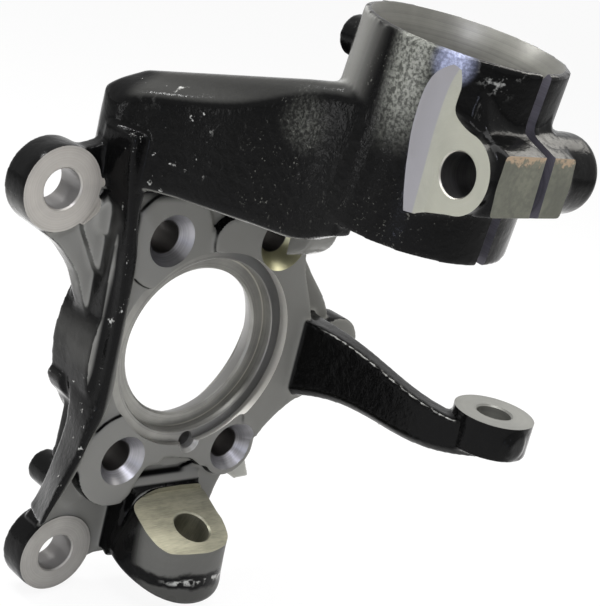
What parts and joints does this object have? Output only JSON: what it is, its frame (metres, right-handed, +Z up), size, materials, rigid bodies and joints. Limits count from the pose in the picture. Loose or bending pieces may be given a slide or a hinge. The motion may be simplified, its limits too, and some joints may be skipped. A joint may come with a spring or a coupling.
{
  "type": "steering knuckle",
  "caption": "Cast front steering knuckle with a strut clamp on an arm, hub bore with bolt seats, calliper ears, steering arm and ball-joint lug.",
  "frame": {"origin": "centre of the hub bore on its inboard rim", "axes": "+X towards the steering arm (rear of the car), +Y outboard along the hub axis, +Z up"},
  "size_m": [0.1879, 0.1642, 0.2577],
  "materials": {
    "casting": "thick gloss black paint over the rough casting, with the machined seats, bores and faces bare"
  },
  "bodies": {
    "root": {"steering_knuckle": "casting"}
  },
  "joints": []
}
